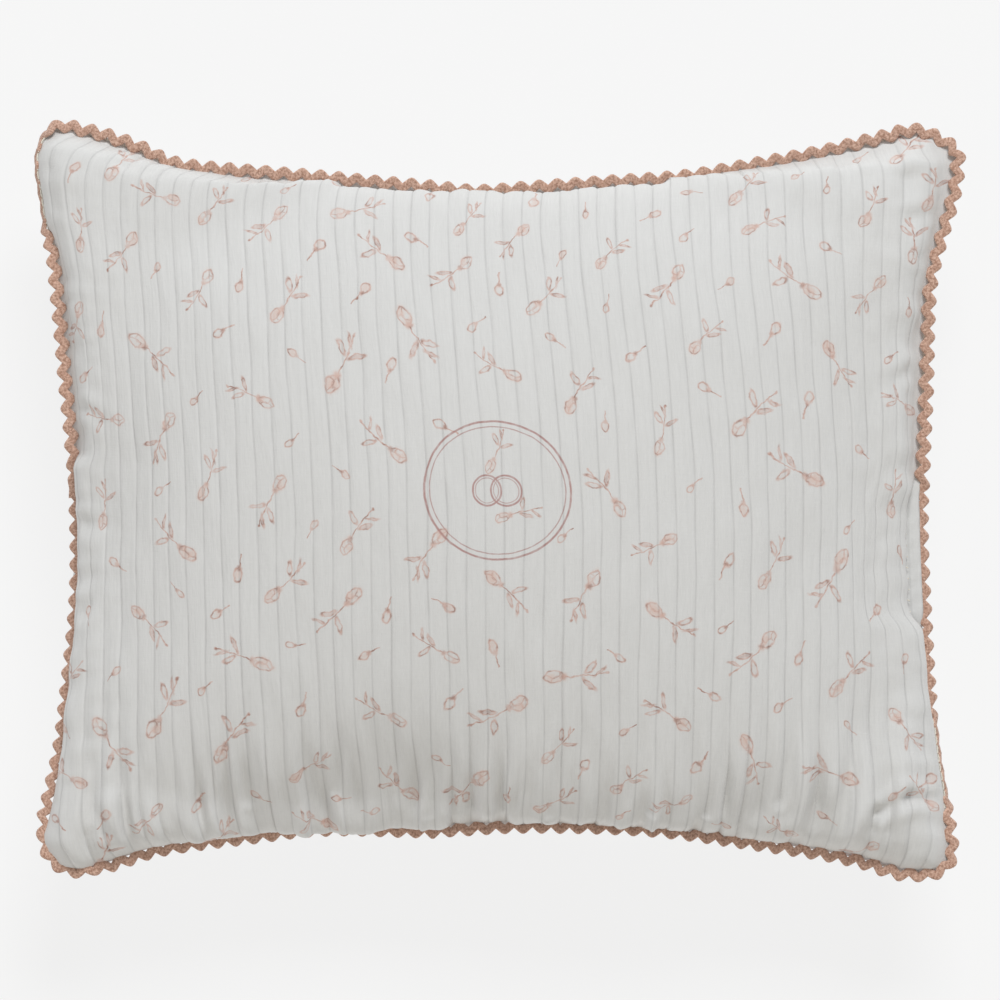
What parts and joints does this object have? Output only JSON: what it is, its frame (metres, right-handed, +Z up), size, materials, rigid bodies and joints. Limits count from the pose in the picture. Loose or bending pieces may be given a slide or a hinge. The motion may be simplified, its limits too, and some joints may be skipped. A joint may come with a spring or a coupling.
{
  "type": "ring bearer pillow",
  "caption": "Small rectangular stuffed pillow with waisted sides and ric-rac caught in its seam all round, lying face up.",
  "frame": {"origin": "middle of the flat patch under the back panel that the pillow rests on, which is the bottom centre of its bounding box", "axes": "+X along the long side, +Y along the short side towards the top of the face, +Z up out of the face"},
  "size_m": [0.2527, 0.2072, 0.0815],
  "materials": {
    "printed_muslin": "matt crinkled cotton with fine tucks and a small rosebud print",
    "dusty_pink_braid": "matt woven braid",
    "cream_thread": "spun thread with a slight sheen",
    "case_calico": "plain matt cotton",
    "white_fibre": "loose matt fibre"
  },
  "bodies": {
    "root": {"front_panel": "printed_muslin", "back_panel": "printed_muslin", "ricrac_trim": "dusty_pink_braid", "seam_thread": "cream_thread", "closing_thread": "cream_thread", "inner_case_front": "case_calico", "inner_case_back": "case_calico", "inner_seam_thread": "cream_thread", "fibre_fill": "white_fibre"}
  },
  "joints": []
}
